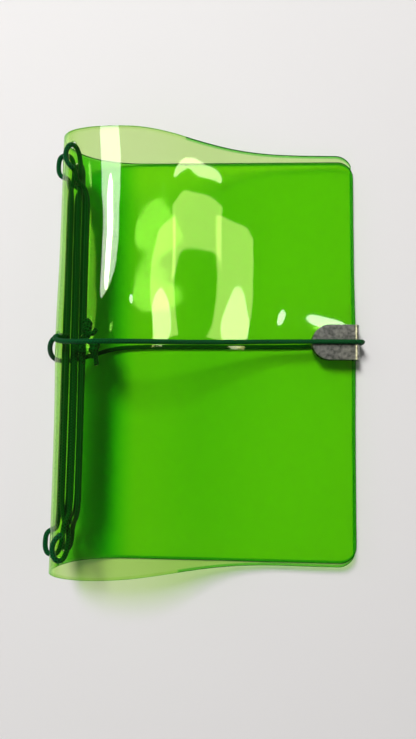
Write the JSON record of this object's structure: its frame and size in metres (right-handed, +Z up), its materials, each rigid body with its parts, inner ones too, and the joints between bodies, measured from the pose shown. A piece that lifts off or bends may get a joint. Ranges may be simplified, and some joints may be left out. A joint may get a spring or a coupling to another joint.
{
  "type": "pocket notebook cover",
  "caption": "Clear refillable pocket notebook cover folded round a soft spine, with laced spine elastic, closure elastic and a metal fore-edge clip.",
  "frame": {"origin": "middle of the footprint, on the surface that the notebook lies on", "axes": "+Z up out of the front cover, +X towards the fore edge, +Y towards the head"},
  "size_m": [0.0994, 0.134, 0.0277],
  "materials": {
    "clear_sheet": "clear green soft vinyl, glossy",
    "elastic_cord": "braided dark green sleeve over a rubber core",
    "clip_steel": "tumbled bright steel"
  },
  "bodies": {
    "back_cover_body": {"back_cover": "clear_sheet", "closure_back_run": "elastic_cord"},
    "spine_body": {"spine_strip": "clear_sheet", "spine_elastic": "elastic_cord", "spine_elastic_knot": "elastic_cord", "closure_elastic_knot": "elastic_cord", "closure_spine_wrap": "elastic_cord"},
    "spine_bend_body": {"spine_bend_front": "clear_sheet"},
    "cover_slope_body": {"front_cover_slope": "clear_sheet"},
    "front_cover_body": {"front_cover": "clear_sheet", "closure_front_run": "elastic_cord"},
    "clip_body": {"edge_clip": "clip_steel", "closure_edge_bend": "elastic_cord"}
  },
  "joints": [
    {"name": "cover_open", "type": "hinge", "parent": "back_cover_body", "child": "spine_body", "pos_m": [-0.0427, 0, 0.00806], "axis": [0, -1, 0], "range_deg": [0, 98], "deforming": ["closure_front_run", "closure_spine_wrap", "closure_back_run"]},
    {"name": "spine_front_fold", "type": "hinge", "parent": "spine_body", "child": "spine_bend_body", "pos_m": [-0.03922, 0, 0.02491], "axis": [0, -1, 0], "range_deg": [0, 98.5]},
    {"name": "slope_fold", "type": "hinge", "parent": "spine_bend_body", "child": "cover_slope_body", "pos_m": [-0.01734, 0, 0.02338], "axis": [0, -1, 0], "range_deg": [0, 18.5]},
    {"name": "cover_flatten", "type": "hinge", "parent": "cover_slope_body", "child": "front_cover_body", "pos_m": [0.00143, 0, 0.01231], "axis": [0, -1, 0], "range_deg": [-25.5, 0]},
    {"name": "clip_slide", "type": "slide", "parent": "front_cover_body", "child": "clip_body", "axis": [1, 0, 0], "range_m": [0, 0.0155]}
  ],
  "couplings": [
    {"joint": "spine_front_fold", "follows": "cover_open", "ratio": 1},
    {"joint": "slope_fold", "follows": "cover_open", "ratio": 0.183},
    {"joint": "cover_flatten", "follows": "cover_open", "ratio": -0.255}
  ]
}
